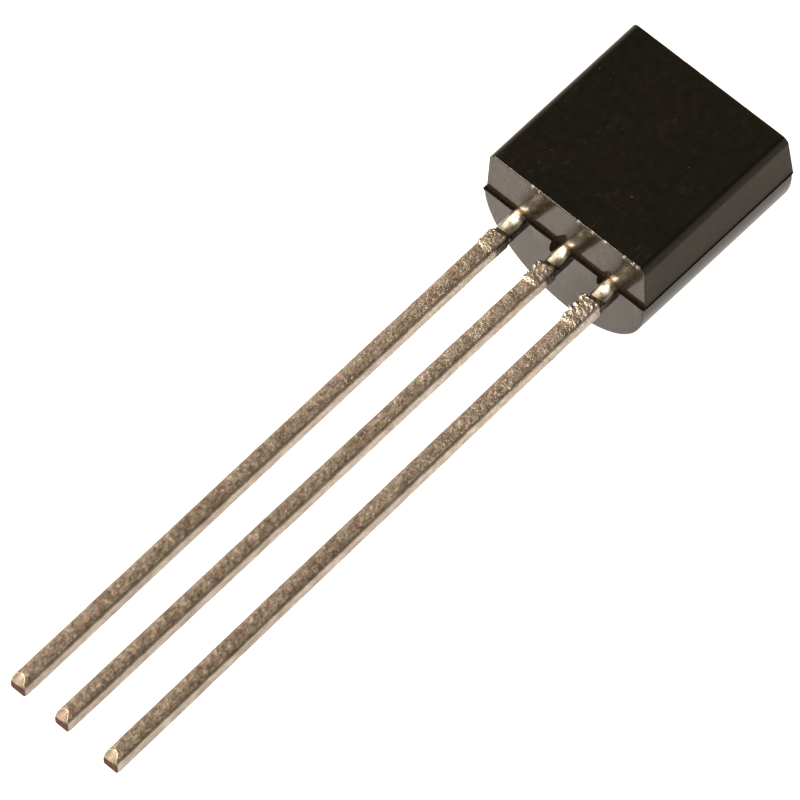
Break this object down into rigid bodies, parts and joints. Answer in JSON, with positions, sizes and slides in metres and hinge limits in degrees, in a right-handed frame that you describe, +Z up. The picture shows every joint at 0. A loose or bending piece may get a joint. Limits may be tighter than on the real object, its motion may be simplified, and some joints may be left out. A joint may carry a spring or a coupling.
{
  "type": "to-92 transistor",
  "caption": "Three-lead through-hole transistor: D-shaped moulded epoxy body with a flat front, and straight tinned leads in a row.",
  "frame": {"origin": "centre of the bounding box's underside, on the surface the part lies on", "axes": "+Z up; the part lies on its round back and its lead tips with the flat face up; leads run towards -Y and the top of the body towards +Y; +X is to the right of the flat face when the leads point down. The body is tipped 6.5 degrees about X"},
  "size_m": [0.0044, 0.0194, 0.0039],
  "materials": {
    "epoxy": "black moulding compound, satin face, faint scuffs, polished drafted ends",
    "tinned_lead": "hot-tinned copper alloy, dull and mottled, sheared ends",
    "silicon": "polished silicon, hidden inside",
    "attach": "silver-filled attach, hidden inside",
    "bond_wire": "gold wire, hidden inside"
  },
  "bodies": {
    "root": {"moulded_body": "epoxy", "emitter_lead": "tinned_lead", "collector_lead": "tinned_lead", "base_lead": "tinned_lead", "silicon_die": "silicon", "die_attach": "attach", "emitter_bond_wire": "bond_wire", "base_bond_wire": "bond_wire"}
  },
  "joints": []
}
